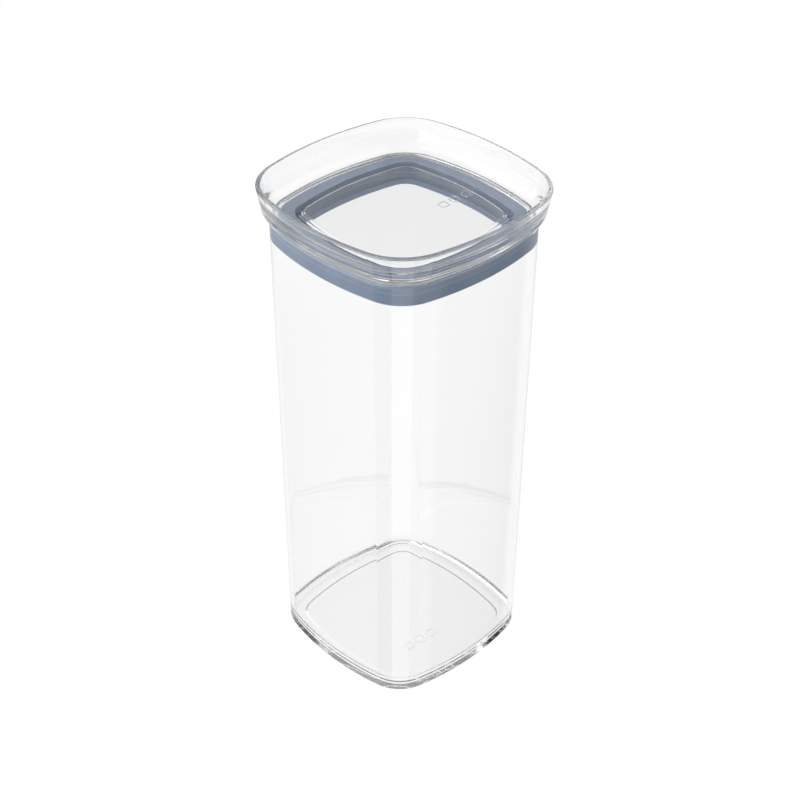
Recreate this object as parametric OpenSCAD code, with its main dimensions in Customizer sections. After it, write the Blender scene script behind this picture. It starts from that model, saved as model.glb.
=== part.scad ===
// Square storage canister with a lift-off lid and a press-in seal.
// Every ring of it follows one plan outline: four gently bowed sides joined by round corners.
// A ring is drawn as a section in (offset out from that outline, height) and swept once round it.

/* [Plan outline] */
// Width of the container across its flats, outside, at the rim
body_w = 102.7; // [80:0.1:130]
// Radius of the round corners
corner_r = 22; // [18:0.5:30]

/* [Container] */
// Height of the container without its lid
body_h = 231.6; // [90:0.1:320]
// Wall thickness
wall = 2; // [1.2:0.1:3]
// Draft angle of the walls
draft = 0.7; // [0.2:0.05:0.9]
// Thickness of the floor over the foot
floor_t = 3.4; // [2.4:0.1:5]
// Radius inside, between the wall and the floor
floor_fillet = 5; // [3:0.5:8]
// Chamfer outside, between the wall and the foot
foot_chamfer = 0.8; // [0.4:0.1:1.2]
// Depth of the panel inside the foot ring
foot_recess = 0.7; // [0.4:0.1:1.2]

/* [Lid] */
// Thickness of the lid's plate and of its raised border
lid_t = 2.2; // [1.6:0.1:3]
// Height of the border above the plate
border_h = 14.2; // [9:0.1:20]
// Radius under the border, where it leaves the rim
border_round = 5.4; // [4:0.1:7]
// Radius of the hollow between the border and the plate
border_cove = 12; // [6:0.5:12]
// Distance that the foot of the border stands out past the rim
border_out = 3.4; // [2:0.1:5]
// Distance that the border leans out from its foot to its lip
border_lean = 2.2; // [1:0.1:4]
// Distance from the container's outside in to the skirt
skirt_in = 11.6; // [9:0.1:13]
// Length of the skirt below the plate
skirt_h = 7.6; // [5:0.1:12]
// Fillet between the skirt and the plate
skirt_fillet = 1.6; // [0.8:0.1:2.5]
// Depth that the plate drops inside the rim
plug_drop = 0.3; // [0.1:0.1:1]
// Height of the bead over the skirt
bead_h = 0.5; // [0.3:0.1:1]
// Width of the bead over the skirt
bead_w = 3.8; // [3:0.1:5]

/* [Seal] */
// Gap between the seal and the container's wall
seal_gap = 0.15; // [0.1:0.05:0.3]
// Size of the bevel round the seal's top
seal_bevel = 2.2; // [1:0.1:2.5]
// Height of the seal's ridge over its lowest face
ridge_h = 5.4; // [3:0.1:6]
// Depth of the seal's hook below the skirt
hook_h = 2.6; // [1.5:0.1:4]
// Distance that the hook reaches in under the skirt
hook_in = 1.5; // [0.8:0.1:2]

/* [Moulding marks] */
// Radius of the gate's nub on the skirt
gate_r = 0.9; // [0.5:0.1:1.2]
// Height of the square marks on the lid and in the foot
mark_h = 0.3; // [0.2:0.05:0.4]
// Width of one mark
mark_w = 5; // [4:0.5:6]
// Distance between the centres of two marks
mark_pitch = 7; // [6.5:0.5:9]

/* [Hidden] */
$fn = 96;

clear = [0.93, 0.95, 0.96, 0.35];
slate = [0.47, 0.52, 0.6];

// Distance that the seal is set back above its ridge
ridge_step = 0.4;
// Chamfers on the seal's hook
hook_edge = 0.4;
// How much thicker the lip's bead is than the border, on each side
lip_swell = 0.1;
// Distance from the plate's underside down to the gate's nub
gate_drop = 2.4;
// Places of the middle marks on the lid and in the foot
mark_inset = 2;
foot_marks = [-7.5, -21.5];
// How much further out the recess under the foot reaches than the bead on the lid
recess_over = 0.3;
// Gap between the seal and the lid's own faces
seal_fit = 0.02;
// Gap between the container's wall and the part of the plate that drops inside it
plug_gap = 0.4;
// How far two pieces of one solid run into each other
lap = 0.4;

// The centres of a side arc and of a corner arc are two corners of a 9-40-41 right triangle.
// Its long side passes through the point where the two arcs meet, so they meet exactly.
half_w = body_w / 2;
unit = (half_w - corner_r) / 10;
side_c = -31 * unit;
corner_c = 9 * unit;
core_r = 41 * unit;
side_r = core_r + corner_r;

// Heights of the lid's plate and of the seal's lowest face
plate_under = body_h - plug_drop;
plate_top = body_h + lid_t;
skirt_z = plate_under - skirt_h;
hook_z = skirt_z - hook_h;
ridge_z = hook_z + ridge_h;
lid_marks = [half_w - skirt_in - bead_w - mark_inset - mark_pitch - mark_w / 2, -7];

// Offsets from the outline, at a height, of the drafted wall's two faces and of the seal's side
function out_at(z) = (z - body_h) * tan(draft);
function in_at(z) = out_at(z) - wall;
function seal_at(z) = in_at(z) - seal_gap;

// Points along an arc of radius r about the point c, from angle a0 to a1
function arc(c, r, a0, a1, steps = 6) =
    [for (i = [0 : steps]) let (a = a0 + (a1 - a0) * i / steps) c + r * [cos(a), sin(a)]];

// Sweeps a section round the outline: x is the offset out from it, y is the height
module sweep(z0, z1) {
    far = 49 * unit;
    near = 18 * unit;
    for (q = [0 : 3]) rotate([0, 0, 90 * q]) {
        intersection() {
            translate([side_c, 0, 0]) rotate_extrude() translate([side_r, 0]) children();
            translate([0, 0, z0 - 1]) linear_extrude(z1 - z0 + 2)
                polygon([[side_c, 0], [far, -near], [far, near]]);
        }
        intersection() {
            translate([corner_c, corner_c, 0]) rotate_extrude() translate([corner_r, 0]) children();
            translate([0, 0, z0 - 1]) linear_extrude(z1 - z0 + 2)
                polygon([[corner_c, corner_c], [far, near], [far, far], [near, far]]);
        }
    }
}

// Fills the middle of a swept plate, whose section reaches in to the corner arcs' centres
module core(z0, z1) {
    intersection_for (q = [0 : 3]) rotate([0, 0, 90 * q])
        translate([side_c, 0, z0]) cylinder(r = core_r + lap, h = z1 - z0);
}

// The concave fillet between a wall to the right and a plate below, which meet at (x, z)
module fillet(x, z, r) {
    difference() {
        translate([x - r, z - lap]) square([r + lap, r + lap]);
        translate([x - r, z + r]) circle(r);
    }
}

// A row of three plain rounded squares, each a raised outline
module marks() {
    rim = 0.8;
    for (i = [-1 : 1]) translate([i * mark_pitch, 0, 0])
        linear_extrude(mark_h + lap) difference() {
            square(mark_w, center = true);
            square(mark_w - 2 * rim, center = true);
        }
}

module container() {
    foot_out = out_at(0);
    recess_d = -skirt_in + recess_over;
    rim_r = wall / 2;
    rim_z = body_h - rim_r;
    color(clear) {
        sweep(0, body_h) {
            polygon(concat(
                [[-corner_r, floor_t], [-corner_r, foot_recess]],
                [[recess_d - foot_recess, foot_recess], [recess_d, 0]],
                [[foot_out - foot_chamfer, 0], [out_at(foot_chamfer), foot_chamfer]],
                arc([out_at(rim_z) - rim_r, rim_z], rim_r, 0, 180),
                [[in_at(floor_t), floor_t]]
            ));
            fillet(in_at(floor_t + floor_fillet), floor_t, floor_fillet);
        }
        core(foot_recess, floor_t);
        translate([foot_marks.x, foot_marks.y, foot_recess + lap]) mirror([0, 0, 1]) marks();
    }
}

module lid() {
    round_x = border_out - border_round;
    round_z = body_h + border_round;
    inner_r = border_round - lid_t;
    lip_r = lid_t / 2 + lip_swell;
    lip_x = border_out + border_lean - lip_r;
    lip_z = plate_top + border_h - lip_r;
    lean = atan2(lip_x - lid_t / 2 - round_x - inner_r, lip_z - round_z);
    cove_r = min(border_cove, border_h - lip_r);
    cove_z = plate_top + cove_r;
    cove_x = round_x + inner_r + (cove_z - round_z) * tan(lean)
        - cove_r / cos(lean) + lap / 4;
    mid_r = (inner_r + border_round) / 2;
    bead_r = (bead_w ^ 2 / 4 + bead_h ^ 2) / (2 * bead_h);
    bead_x = -skirt_in - bead_w / 2;
    color(clear) {
        sweep(skirt_z, plate_top + border_h) {
            // plate, which drops inside the rim
            polygon([
                [-corner_r, plate_under],
                [-wall - plug_gap, plate_under],
                [-wall - plug_gap, body_h],
                [round_x + lap, body_h + lap / 4],
                [round_x + lap, plate_top - lap / 4],
                [round_x, plate_top],
                [-corner_r, plate_top]
            ]);
            // round foot of the border
            intersection() {
                difference() {
                    translate([round_x, round_z]) circle(border_round);
                    translate([round_x, round_z]) circle(inner_r);
                }
                translate([round_x, body_h - 1]) square([border_round + 1, border_round + 1]);
            }
            // leaning border and its round lip
            polygon([
                [round_x + inner_r, round_z],
                [round_x + mid_r, round_z - lap],
                [round_x + border_round, round_z],
                [lip_x + lid_t / 2, lip_z],
                [lip_x - lid_t / 2, lip_z]
            ]);
            translate([lip_x, lip_z]) circle(lip_r);
            // wide hollow curve from the plate up into the border
            polygon(concat(
                arc([cove_x, cove_z], cove_r, -90, -lean, 10),
                [[round_x + inner_r + lap, round_z]],
                [[round_x + mid_r * cos(45), round_z - mid_r * sin(45)]],
                [[round_x, plate_top - lap], [cove_x, plate_top - lap]]
            ));
            // low bead over the skirt
            intersection() {
                translate([bead_x, plate_top + bead_h - bead_r]) circle(bead_r);
                translate([bead_x - bead_w, plate_top - lap]) square([2 * bead_w, 2]);
            }
            // skirt that carries the seal
            translate([-skirt_in - lid_t, skirt_z]) square([lid_t, skirt_h + lap]);
            translate([0, plate_under]) mirror([0, 1])
                fillet(-skirt_in - lid_t, 0, skirt_fillet);
        }
        core(plate_under, plate_top);
        translate([lid_marks.x, lid_marks.y, plate_top - lap]) marks();
        translate([0, half_w - skirt_in - lid_t, plate_under - gate_drop]) sphere(gate_r);
    }
}

module seal() {
    top_z = plate_under - seal_fit;
    bevel_z = top_z - seal_bevel;
    inner = -skirt_in + seal_fit;
    hook_x = inner - hook_in;
    ledge_z = skirt_z - seal_fit;
    color(slate)
        sweep(hook_z, top_z) polygon([
            [inner, top_z],
            [seal_at(top_z) - seal_bevel, top_z],
            [seal_at(bevel_z) - ridge_step, bevel_z],
            [seal_at(ridge_z) - ridge_step, ridge_z + ridge_step],
            [seal_at(ridge_z), ridge_z],
            [seal_at(hook_z), hook_z + hook_edge],
            [seal_at(hook_z) - hook_edge, hook_z],
            [hook_x, hook_z],
            [hook_x, ledge_z - hook_edge],
            [hook_x + hook_edge, ledge_z],
            [inner, ledge_z]
        ]);
}

container();
lid();
seal();
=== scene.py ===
# %% [markdown]
# # A square storage canister with a lift-off lid
# The canister is three moulded pieces: a tall clear container, a clear lid with a raised border,
# and a soft slate-blue seal that sits round the lid's skirt. A fixed model of the same object says
# where everything is. This script puts finer surfaces, real finishes and a studio round it.
#
# Clear pieces are hard on a mesh, because light bends at every face and shows each facet twice.
# So every surface here comes from a formula, with its true normals, instead of from a modifier.

# %% Load the fixed model
import math

import bmesh
import bpy
from mathutils import Matrix, Vector


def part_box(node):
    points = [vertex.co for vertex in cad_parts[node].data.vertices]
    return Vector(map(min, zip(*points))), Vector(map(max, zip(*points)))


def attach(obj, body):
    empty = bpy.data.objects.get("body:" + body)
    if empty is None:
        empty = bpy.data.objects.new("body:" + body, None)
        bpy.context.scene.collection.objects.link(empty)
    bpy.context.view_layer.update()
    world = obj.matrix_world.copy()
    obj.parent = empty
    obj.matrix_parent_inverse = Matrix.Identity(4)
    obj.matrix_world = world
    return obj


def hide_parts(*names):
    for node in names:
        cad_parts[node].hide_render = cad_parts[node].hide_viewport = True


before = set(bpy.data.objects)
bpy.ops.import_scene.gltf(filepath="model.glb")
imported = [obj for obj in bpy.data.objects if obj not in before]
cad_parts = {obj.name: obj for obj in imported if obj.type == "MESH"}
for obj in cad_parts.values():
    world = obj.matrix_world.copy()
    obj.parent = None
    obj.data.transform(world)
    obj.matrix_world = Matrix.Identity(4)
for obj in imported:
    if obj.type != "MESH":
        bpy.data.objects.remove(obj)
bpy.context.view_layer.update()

# %% [markdown]
# ## The camera
# The camera comes first, because a studio is built for one view. It looks down at a front corner
# through a fairly long lens, so the tall walls come together only a little towards the foot.
# Its place is worked out from a direction and a distance, which are easy to change and to read.

# %% Place the camera
MM = 0.001
CAMERA_AZIMUTH = math.radians(-43.68)
CAMERA_ELEVATION = math.radians(35.03)
CAMERA_ROLL = math.radians(0.31)
CAMERA_DISTANCE = 854.9 * MM
CAMERA_TARGET = Vector((-0.94, 0.90, 133.0)) * MM

towards_camera = Vector((
    math.sin(CAMERA_AZIMUTH) * math.cos(CAMERA_ELEVATION),
    -math.cos(CAMERA_AZIMUTH) * math.cos(CAMERA_ELEVATION),
    math.sin(CAMERA_ELEVATION),
))
camera_data = bpy.data.cameras.new("camera")
camera_data.lens = 81.8
camera_data.sensor_width = 36.0
camera_data.clip_start = 0.05
camera = bpy.data.objects.new("camera", camera_data)
camera.rotation_mode = "QUATERNION"
camera.location = CAMERA_TARGET + towards_camera * CAMERA_DISTANCE
level = (-towards_camera).to_track_quat("-Z", "Y")
camera.rotation_quaternion = level @ Matrix.Rotation(CAMERA_ROLL, 4, "Z").to_quaternion()
bpy.context.scene.collection.objects.link(camera)
bpy.context.scene.camera = camera
bpy.context.scene.view_settings.view_transform = "Standard"
bpy.context.scene.cycles.max_bounces = 32
bpy.context.scene.cycles.transmission_bounces = 32
bpy.context.scene.cycles.glossy_bounces = 32
print("camera at", [round(place, 3) for place in camera.location])

# %% [markdown]
# ## Writing shaders as sums
# A node tree is a sum written with boxes and wires. The class below wraps one output socket, so
# that `1 - mask * 0.5` adds the Math nodes by itself. Colours and vectors go through Mix and
# Vector Math nodes, because a Math node would turn a colour grey.

# %% Shader expressions
class Wire:
    """One output socket of a node tree, which can be used in sums."""

    def __init__(self, tree, socket):
        self.tree = tree
        self.socket = socket

    def node(self, kind, settings=None, **inputs):
        """Adds a node of that kind, with its settings first and then its sockets."""
        made = self.tree.nodes.new(kind)
        for name, value in (settings or {}).items():
            setattr(made, name, value)
        for name, value in inputs.items():
            place = int(name[1:]) if name[1:].isdigit() else name.replace("_", " ")
            if isinstance(value, Wire):
                self.tree.links.new(value.socket, made.inputs[place])
            else:
                made.inputs[place].default_value = value
        return made

    def math(self, operation, *values):
        inputs = {f"i{index}": value for index, value in enumerate(values)}
        made = self.node("ShaderNodeMath", {"operation": operation}, **inputs)
        return Wire(self.tree, made.outputs[0])

    def __add__(self, other):
        return self.math("ADD", self, other)

    def __sub__(self, other):
        return self.math("SUBTRACT", self, other)

    def __rsub__(self, other):
        return self.math("SUBTRACT", other, self)

    def __mul__(self, other):
        return self.math("MULTIPLY", self, other)

    def __truediv__(self, other):
        return self.math("DIVIDE", self, other)

    __radd__ = __add__
    __rmul__ = __mul__

    def smoothly(self, low, high):
        """0 below low, 1 above high, and a soft step between them."""
        settings = {"interpolation_type": "SMOOTHSTEP"}
        inputs = {"Value": self, "From_Min": low, "From_Max": high}
        made = self.node("ShaderNodeMapRange", settings, **inputs)
        return Wire(self.tree, made.outputs["Result"])

    def mix_colours(self, first, second):
        """The first colour where this value is 0, and the second where it is 1."""
        made = self.node("ShaderNodeMix", {"data_type": "RGBA"}, i0=self, i6=first, i7=second)
        return Wire(self.tree, made.outputs[2])


def new_material(name, **constants):
    """A material with one Principled shader. Returns it, its shader and its position wire."""
    material = bpy.data.materials.new(name)
    material.use_nodes = True
    tree = material.node_tree
    shader = tree.nodes["Principled BSDF"]
    for socket, value in constants.items():
        shader.inputs[socket.replace("_", " ")].default_value = value
    place = tree.nodes.new("ShaderNodeTexCoord").outputs["Object"]
    return material, shader, Wire(tree, place)


def noise(place, size, detail=2.0):
    """Noise from 0 to 1 whose grains are about as large as size, in metres."""
    made = place.node("ShaderNodeTexNoise", None, Vector=place, Scale=1 / size, Detail=detail)
    return Wire(place.tree, made.outputs["Fac"])


def plug(shader, socket, wire):
    shader.id_data.links.new(wire.socket, shader.inputs[socket])


def height(place):
    """Height above the floor, in metres."""
    made = place.node("ShaderNodeSeparateXYZ", None, Vector=place)
    return Wire(place.tree, made.outputs["Z"])


# %% [markdown]
# ## Clear moulded plastic
# The container and the lid are injection-moulded in a clear, hard plastic. It is smooth as glass,
# but a mould leaves a very faint haze that comes and goes over the wall, and a shelf scuffs what
# stands on it. A Principled shader with full transmission bends the light, its own index of
# refraction is a plain number, and only the roughness changes over the surface.

# %% The clear finish
CLEAR_INDEX = 1.5
SCUFF_TOP = 0.6 * MM


def clear_plastic(name, tint, scuffed_foot):
    material, shader, place = new_material(
        name, Base_Color=tint, IOR=CLEAR_INDEX, Transmission_Weight=1.0
    )
    haze = noise(place, 35 * MM).smoothly(0.45, 0.8)
    roughness = 0.004 + haze * 0.012
    if scuffed_foot:
        scuffs = noise(place, 0.9 * MM, 6.0).smoothly(0.5, 0.62)
        foot = 1 - height(place).smoothly(0, SCUFF_TOP)
        roughness = roughness + foot * scuffs * 0.25
    plug(shader, "Roughness", roughness)
    return material


body_plastic = clear_plastic("clear_body_plastic", (0.978, 0.979, 0.98, 1), True)
lid_plastic = clear_plastic("clear_lid_plastic", (0.972, 0.974, 0.975, 1), False)
print("clear finishes:", body_plastic.name, lid_plastic.name)

# %% [markdown]
# ## The seal's elastomer
# The seal is a soft, satin, slate-blue elastomer. Moulded rubber has a fine, even grain and
# slightly uneven pigment, so the colour wanders by a few hundredths and a small bump breaks up the
# highlights. The grain is about a third of a millimetre. A thin, paler line along the ridge is a
# painted highlight, and the side above the ridge is painted paler as a reflection in the wall.

# %% The seal's finish
SEAL_DEEP = (0.29, 0.375, 0.52, 1)
SEAL_PALE = (0.42, 0.50, 0.63, 1)
PAINTED_VEIL_STEP = (226.3 * MM, 226.7 * MM)
PAINTED_HIGHLIGHT_WIDTH = 0.5 * MM


def seal_elastomer():
    material, shader, place = new_material("slate_elastomer", IOR=1.43)
    pigment = noise(place, 9 * MM, 4.0).smoothly(0.3, 0.7)
    # Painted light: the side above the ridge is painted paler as a reflection in the container's
    # wall, and a thin painted highlight runs along the ridge.
    above = height(place).smoothly(*PAINTED_VEIL_STEP)
    start, end = PAINTED_VEIL_STEP
    painted_highlight = above - height(place).smoothly(start + PAINTED_HIGHLIGHT_WIDTH, end + PAINTED_HIGHLIGHT_WIDTH)
    tone = pigment * 0.25 + above * 0.3 + painted_highlight * 0.5
    plug(shader, "Base Color", tone.mix_colours(SEAL_DEEP, SEAL_PALE))
    grain = noise(place, 0.35 * MM, 3.0)
    plug(shader, "Roughness", 0.42 + grain * 0.14)
    bump = place.node("ShaderNodeBump", None, Strength=0.12, Distance=0.02 * MM, Height=grain)
    plug(shader, "Normal", Wire(place.tree, bump.outputs["Normal"]))
    return material


slate = seal_elastomer()
print("seal finish:", slate.name)

# %% [markdown]
# ## One outline for every ring
# All three pieces follow one plan outline: four gently bowed sides joined by round corners. The
# centre of a side's arc and the centre of a corner's arc are two corners of a 9-40-41 right
# triangle, so the arcs meet exactly. A point carries its outward direction, so that any ring of
# any piece is a step along that direction.

# %% The plan outline
HALF_WIDTH = 51.35
CORNER_RADIUS = 22.0


def turned(x, y, angle):
    return x * math.cos(angle) - y * math.sin(angle), x * math.sin(angle) + y * math.cos(angle)


def bowed_square(side_steps=40, corner_steps=60):
    """Points once round the outline, each (x, y, outward x, outward y), in mm."""
    unit = (HALF_WIDTH - CORNER_RADIUS) / 10
    meet = math.atan2(9, 40)
    side = (-31 * unit, 0, 41 * unit + CORNER_RADIUS, -meet, meet, side_steps)
    corner = (9 * unit, 9 * unit, CORNER_RADIUS, meet, math.pi / 2 - meet, corner_steps)
    points = []
    for quarter in range(4):
        for centre_x, centre_y, radius, first, last, steps in (side, corner):
            centre = turned(centre_x, centre_y, quarter * math.pi / 2)
            for step in range(steps):
                angle = first + (last - first) * step / steps + quarter * math.pi / 2
                out = (math.cos(angle), math.sin(angle))
                points.append((centre[0] + radius * out[0], centre[1] + radius * out[1], *out))
    return points


canister_outline = bowed_square()
print("outline points:", len(canister_outline))

# %% [markdown]
# ## Sections with every edge rounded
# No moulded edge is sharp. A section is a list of corners, each with its own radius, and the
# function below replaces each corner by a true arc. It also gives the direction that the surface
# faces at each point, which the mesh keeps as its normals. Long flat walls then stay perfectly
# flat in reflections, and round edges stay round.

# %% Round the corners of a section
ARC_STEP = math.radians(9)


def rounded(corners, closed=False):
    """Turns (x, z, radius) corners into (x, z, facing x, facing z) points. It faces right."""
    found = []
    count = len(corners)
    for index, (x, z, radius) in enumerate(corners):
        here = Vector((x, z))
        before = Vector(corners[index - 1][:2])
        after = Vector(corners[(index + 1) % count][:2])
        if not closed and index in (0, count - 1):
            along = (after - here) if index == 0 else (here - before)
            along.normalize()
            found.append((x, z, along.y, -along.x))
            continue
        arrive = (here - before).normalized()
        leave = (after - here).normalized()
        turn = math.atan2(arrive.x * leave.y - arrive.y * leave.x, arrive.dot(leave))
        reach = radius * math.tan(abs(turn) / 2)
        side = math.copysign(1, turn)
        centre = here - arrive * reach + Vector((-arrive.y, arrive.x)) * radius * side
        steps = max(2, math.ceil(abs(turn) / ARC_STEP))
        for step in range(steps + 1):
            angle = turn * step / steps
            facing = turned(arrive.y, -arrive.x, angle)
            point = centre + Vector(facing) * radius * side
            found.append((point.x, point.y, *facing))
    return found


def sweep(bm, normals, outline, section, centre=(0, 0), closed=False):
    """Adds the surface of a section swept once round an outline. Returns its rings of points."""
    rings = []
    for offset, z, face_out, face_up in section:
        ring = []
        for x, y, out_x, out_y in outline:
            place = (centre[0] + x + offset * out_x, centre[1] + y + offset * out_y, z)
            ring.append(bm.verts.new(Vector(place) * MM))
            normals.append((face_out * out_x, face_out * out_y, face_up))
        rings.append(ring)
    pairs = list(zip(rings, rings[1:])) + ([(rings[-1], rings[0])] if closed else [])
    for lower, upper in pairs:
        for index in range(len(outline)):
            following = (index + 1) % len(outline)
            bm.faces.new((lower[index], lower[following], upper[following], upper[index]))
    return rings


def edges_of(bm, ring):
    return [bm.edges.get((ring[i - 1], ring[i])) for i in range(len(ring))]


def finish_mesh(name, bm, normals, material, body, node=None):
    """Turns the working mesh into a piece that rides on a body and stands for a CAD node."""
    bmesh.ops.recalc_face_normals(bm, faces=bm.faces)
    mesh = bpy.data.meshes.new(name)
    bm.to_mesh(mesh)
    bm.free()
    mesh.shade_smooth()
    mesh.normals_split_custom_set_from_vertices(normals)
    mesh.materials.append(material)
    piece = bpy.data.objects.new(name, mesh)
    bpy.context.scene.collection.objects.link(piece)
    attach(piece, body)
    if node:
        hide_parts(node)
    print(f"{name}: {len(mesh.polygons)} faces")
    return piece


# %% [markdown]
# ## Raised marks
# The lid and the foot each carry a short row of small raised marks from the mould. Plain rounded
# squares stand in for them. They aren't loose pieces, so each is a small ridge that grows out of
# the flat face: the face is filled with triangles up to the ridge's outer line, and the island
# inside the ridge is filled by itself.

# %% A row of marks in a flat face
MARK_HEIGHT = 0.3
MARK_WIDTH = 5.0
MARK_PITCH = 7.0
MARK_RIM = 0.8
MARK_CORNER = 1.4


def rounded_square(width, radius, steps=6):
    """Points once round a square with round corners, each (x, y, outward x, outward y)."""
    inner = width / 2 - radius
    points = []
    for quarter in range(4):
        for step in range(steps + 1):
            angle = (quarter + step / steps) * math.pi / 2
            corner = turned(inner, inner, quarter * math.pi / 2)
            out = (math.cos(angle), math.sin(angle))
            points.append((corner[0] + radius * out[0], corner[1] + radius * out[1], *out))
    return points


def fill_with_marks(bm, normals, ring, z, rise, centre):
    """Fills a flat ring at height z, with a row of marks on it that rise that far."""
    foot = 0.15
    root = 0.08
    top = min(0.12, abs(rise) / 3)
    ridge = rounded([
        (foot, z, 0), (0, z, root), (0, z + rise, top),
        (-MARK_RIM, z + rise, top), (-MARK_RIM, z, root), (-MARK_RIM - foot, z, 0),
    ])
    if rise < 0:
        ridge = [(x, height_, -face_x, -face_z) for x, height_, face_x, face_z in ridge]
    border = edges_of(bm, ring)
    outline = rounded_square(MARK_WIDTH, MARK_CORNER)
    for place in (-1, 0, 1):
        mark_centre = (centre[0] + place * MARK_PITCH, centre[1])
        rings = sweep(bm, normals, outline, ridge, mark_centre)
        border += edges_of(bm, rings[0])
        bmesh.ops.triangle_fill(bm, edges=edges_of(bm, rings[-1]), use_beauty=True)
    bmesh.ops.triangle_fill(bm, edges=border, use_beauty=True)


# %% [markdown]
# ## The container
# The container is one deep moulding. Its walls lean out by 0.7 degrees so that it leaves its
# mould, its rim is fully round, and it stands on a ring round a shallow recess. A lathe-like
# sweep of one section gives both faces of the wall together, so the wall is 2 mm everywhere.

# %% Make the container
DRAFT = math.tan(math.radians(0.7))
WALL = 2.0
FLOOR = 3.4
FOOT_RECESS = 0.7
FLAT_EDGE = -16.4
SKIRT_IN = 11.6
RECESS_OVER = 0.3
FOOT_CHAMFER = 0.8
FLOOR_FILLET = 5.0
FOOT_MARKS = (-7.5, -21.5)
body_height = 1000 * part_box("container")[1].z


def wall_out(z):
    """Offset of the wall's outer face from the outline at height z."""
    return (z - body_height) * DRAFT


def make_container():
    bm = bmesh.new()
    normals = []
    ring_in = -SKIRT_IN + RECESS_OVER
    rim = 0.495 * WALL
    section = rounded([
        (FLAT_EDGE, FOOT_RECESS, 0),
        (ring_in - FOOT_RECESS, FOOT_RECESS, 0.4),
        (ring_in, 0, 0.4),
        (wall_out(0) - FOOT_CHAMFER, 0, 0.5),
        (wall_out(FOOT_CHAMFER), FOOT_CHAMFER, 0.7),
        (wall_out(body_height), body_height, rim),
        (wall_out(body_height) - WALL, body_height, rim),
        (wall_out(FLOOR) - WALL, FLOOR, FLOOR_FILLET),
        (FLAT_EDGE, FLOOR, 0),
    ])
    rings = sweep(bm, normals, canister_outline, section)
    fill_with_marks(bm, normals, rings[0], FOOT_RECESS, -MARK_HEIGHT, FOOT_MARKS)
    bmesh.ops.triangle_fill(bm, edges=edges_of(bm, rings[-1]), use_beauty=True)
    return finish_mesh(
        "container_moulding", bm, normals, body_plastic, "container", "container"
    )


container = make_container()

# %% [markdown]
# ## The lid
# The lid is a flat plate with a skirt below it, a low bead above the skirt and a tall border that
# leans out. The border's round foot laps over the container's rim. Inside, a wide hollow curve
# joins the border to the plate. It works as a lens, which hides the seal's top from the front.

# %% Make the lid
LID_WALL = 2.2
BORDER_OUT = 3.4
BORDER_LEAN = 2.2
BORDER_ROUND = 5.4
BORDER_COVE = 12.0
PLATE_GAP = 0.4
BEAD_WIDTH = 3.8
BEAD_HEIGHT = 0.5
SKIRT_FILLET = 1.6
PLUG_DROP = 0.3
LID_MARKS = (24.5, -7.0)
lip_top = 1000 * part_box("lid")[1].z
skirt_foot = 1000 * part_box("lid")[0].z
plate_top = body_height + LID_WALL
plate_under = body_height - PLUG_DROP


def make_lid():
    bm = bmesh.new()
    normals = []
    lean = BORDER_LEAN / (lip_top - body_height - BORDER_ROUND)
    thick = LID_WALL * math.sqrt(1 + lean * lean)

    def border(z):
        """Offset of the border's outer face at height z."""
        return BORDER_OUT + BORDER_LEAN - (lip_top - z) * lean

    lip = 0.49 * LID_WALL
    skirt = -SKIRT_IN - LID_WALL
    step = -WALL - PLATE_GAP
    bead_in = -SKIRT_IN - BEAD_WIDTH
    bead_top = plate_top + BEAD_HEIGHT
    section = rounded([
        (FLAT_EDGE, plate_under, 0),
        (skirt, plate_under, SKIRT_FILLET),
        (skirt, skirt_foot, 0.5),
        (-SKIRT_IN, skirt_foot, 0.5),
        (-SKIRT_IN, plate_under, 0.12),
        (step, plate_under, 0.12),
        (step, body_height, 0.08),
        (border(body_height), body_height, BORDER_ROUND),
        (border(lip_top), lip_top, lip),
        (border(lip_top) - thick, lip_top, lip),
        (border(plate_top) - thick, plate_top, BORDER_COVE),
        (-SKIRT_IN + 0.2, plate_top, 0.6),
        (-SKIRT_IN - 0.7, bead_top, 0.9),
        (bead_in + 0.7, bead_top, 0.9),
        (bead_in - 0.2, plate_top, 0.6),
        (FLAT_EDGE, plate_top, 0),
    ])
    rings = sweep(bm, normals, canister_outline, section)
    bmesh.ops.triangle_fill(bm, edges=edges_of(bm, rings[0]), use_beauty=True)
    fill_with_marks(bm, normals, rings[-1], plate_top, MARK_HEIGHT, LID_MARKS)
    return finish_mesh("lid_moulding", bm, normals, lid_plastic, "lid", "lid")


lid = make_lid()

# %% [markdown]
# ## The gate's nub
# Plastic enters a mould through a small gate, which leaves a nub where it is cut. This lid has one
# inside its skirt. It is a low dome, made as rings that shrink towards its tip.

# %% Make the nub
NUB_RADIUS = 0.9
NUB_DROP = 2.4


def make_nub():
    bm = bmesh.new()
    bmesh.ops.create_uvsphere(bm, u_segments=24, v_segments=12, radius=NUB_RADIUS * MM)
    cut = bmesh.ops.bisect_plane(
        bm, geom=bm.verts[:] + bm.edges[:] + bm.faces[:],
        plane_co=(0, 0, 0), plane_no=(0, 1, 0), clear_outer=True,
    )
    rim = [part for part in cut["geom_cut"] if isinstance(part, bmesh.types.BMEdge)]
    bmesh.ops.triangle_fill(bm, edges=rim, use_beauty=True)
    skirt_face = HALF_WIDTH - SKIRT_IN - LID_WALL
    place = Vector((0, skirt_face - 0.02, plate_under - NUB_DROP)) * MM
    bmesh.ops.translate(bm, verts=bm.verts, vec=place)
    normals = [(vert.co - place).normalized() for vert in bm.verts]
    return finish_mesh("lid_gate_nub", bm, normals, lid_plastic, "lid")


nub = make_nub()

# %% [markdown]
# ## The seal
# The seal is a thick ring of elastomer. It grips the skirt from outside and hooks under it. Its
# outer side is pressed flat against the container's wall, and wets it: with no film of air
# between, the wall works as a lens and the colour fills it right out to its edge. Its section is a
# closed loop, so its sweep closes both ways.

# %% Make the seal
SEAL_BEVEL = 2.2
HOOK_IN = 1.5
HOOK_EDGE = 0.4
PRESS = 0.04
seal_foot = 1000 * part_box("seal")[0].z
seal_top = 1000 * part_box("seal")[1].z


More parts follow.
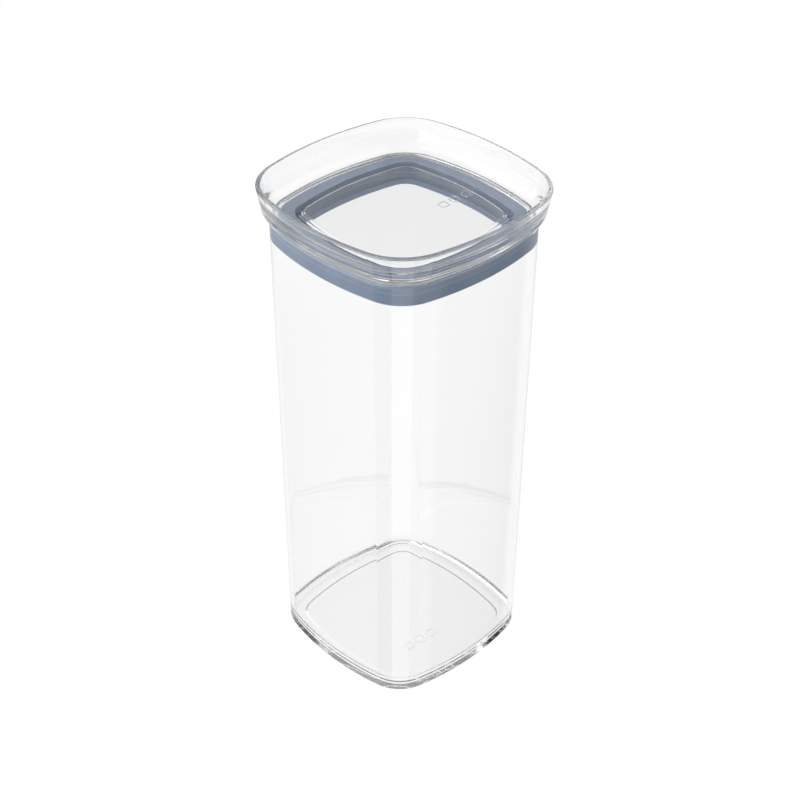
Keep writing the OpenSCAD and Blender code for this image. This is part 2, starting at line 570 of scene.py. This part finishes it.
def make_seal():
    bm = bmesh.new()
    normals = []
    bevel = seal_top - SEAL_BEVEL
    inner = -SKIRT_IN - PRESS
    hook = inner - HOOK_IN
    ledge = skirt_foot + PRESS

    def side(z):
        """Offset of the seal's side at height z, pressed against the container's wall."""
        return wall_out(z) - WALL + PRESS

    section = rounded([
        (inner, seal_top, 0.2),
        (inner, ledge, 0.1),
        (hook, ledge, 0.4),
        (hook, seal_foot, 0.4),
        (side(seal_foot) - HOOK_EDGE, seal_foot, 0.1),
        (side(seal_foot), seal_foot + HOOK_EDGE, 0.1),
        (side(bevel), bevel, 0.6),
        (side(seal_top) - SEAL_BEVEL, seal_top, 0.6),
    ], closed=True)
    sweep(bm, normals, canister_outline, section, closed=True)
    return finish_mesh("seal_ring", bm, normals, slate, "lid", "seal")


make_seal()

# %% [markdown]
# ## The studio
# Clear things are lit by what stands round them. The floor is plain and pale, and glows a little,
# so that it stays white right through the walls. The canister stands in a light tent with bright
# and dark panels: a bright panel gives a soft veil on a wall, and a dark gap leaves the wall
# clear. One ring of panels is below the horizon and one above it, with a soft light overhead. The
# floor doesn't mirror itself in the walls, so that the tent alone does.

# %% The floor
FLOOR_SIZE = 40.0
FLOOR_GAP = 0.05 * MM


def make_floor():
    bm = bmesh.new()
    bmesh.ops.create_circle(bm, cap_ends=True, segments=96, radius=FLOOR_SIZE)
    mesh = bpy.data.meshes.new("studio_floor")
    bm.to_mesh(mesh)
    bm.free()
    made = bpy.data.objects.new("studio_floor", mesh)
    made.location.z = -FLOOR_GAP
    material, shader, place = new_material(
        "pale_floor", Base_Color=(0.12, 0.12, 0.12, 1), Roughness=0.9, Specular_IOR_Level=0.0,
        Emission_Color=(1, 1, 1, 1), Emission_Strength=0.93,
    )
    mesh.materials.append(material)
    made.visible_glossy = False
    bpy.context.scene.collection.objects.link(made)


make_floor()

# %% The light tent
# Each panel runs from one compass direction to the next, in degrees from +X towards +Y.
LOW_PANELS = [
    (0, 100, 0.8),
    (103, 159, 0.65),
    (162, 203, 0.05),
    (205, 252, 1.5),
    (254, 277, 0.5),
    (280, 293, 0.7),
    (296, 338, 0.12),
    (343, 360, 0.8),
]
HIGH_PANELS = [(0, 95, 0.3), (105, 192, 1.8), (204, 290, 0.04), (300, 360, 0.9)]
OVERHEAD_LEVEL = 0.5
OVERHEAD_TOWARDS = Vector((-0.10, 0.10, 0.99))
OVERHEAD_EDGE = (0.80, 0.88)


def panel_ramp(compass, panels):
    """The level of a ring of panels in the direction of the compass, which runs from 0 to 1."""
    made = compass.node("ShaderNodeValToRGB", None, Fac=compass)
    stops = [(edge / 360, level) for first, last, level in panels for edge in (first, last)]
    elements = made.color_ramp.elements
    while len(elements) < len(stops):
        elements.new(0.5)
    for element, (position, level) in zip(elements, stops):
        element.position = position
        element.color = (level, level, level, 1)
    return Wire(compass.tree, made.outputs["Color"])


def make_tent():
    world = bpy.data.worlds.new("light_tent")
    bpy.context.scene.world = world
    world.use_nodes = True
    tree = world.node_tree
    tree.nodes.clear()
    place = Wire(tree, tree.nodes.new("ShaderNodeTexCoord").outputs["Generated"])
    split = place.node("ShaderNodeSeparateXYZ", None, Vector=place)
    east, north, up = (Wire(tree, output) for output in split.outputs)
    compass = north.math("ARCTAN2", north, east) / math.tau
    compass = compass.math("FRACT", compass + 1)
    high = up.smoothly(-0.56, -0.40)
    tent = high.mix_colours(panel_ramp(compass, LOW_PANELS), panel_ramp(compass, HIGH_PANELS))
    x, y, z = OVERHEAD_TOWARDS.normalized()
    overhead = (east * x + north * y + up * z).smoothly(*OVERHEAD_EDGE)
    tent = overhead.mix_colours(tent, (OVERHEAD_LEVEL, OVERHEAD_LEVEL, OVERHEAD_LEVEL, 1))
    light_path = tree.nodes.new("ShaderNodeLightPath")
    seen = Wire(tree, light_path.outputs["Is Camera Ray"])
    colour = seen.mix_colours(tent, (1, 1, 1, 1))
    shell = place.node("ShaderNodeBackground", None, Color=colour, Strength=1.0)
    output = tree.nodes.new("ShaderNodeOutputWorld")
    tree.links.new(shell.outputs[0], output.inputs["Surface"])


make_tent()
# Clear pieces cast no shadow, so that light reaches the seal and the floor behind them.
for piece in (container, lid, nub):
    piece.visible_shadow = False
print("tent panels:", len(LOW_PANELS) + len(HIGH_PANELS))
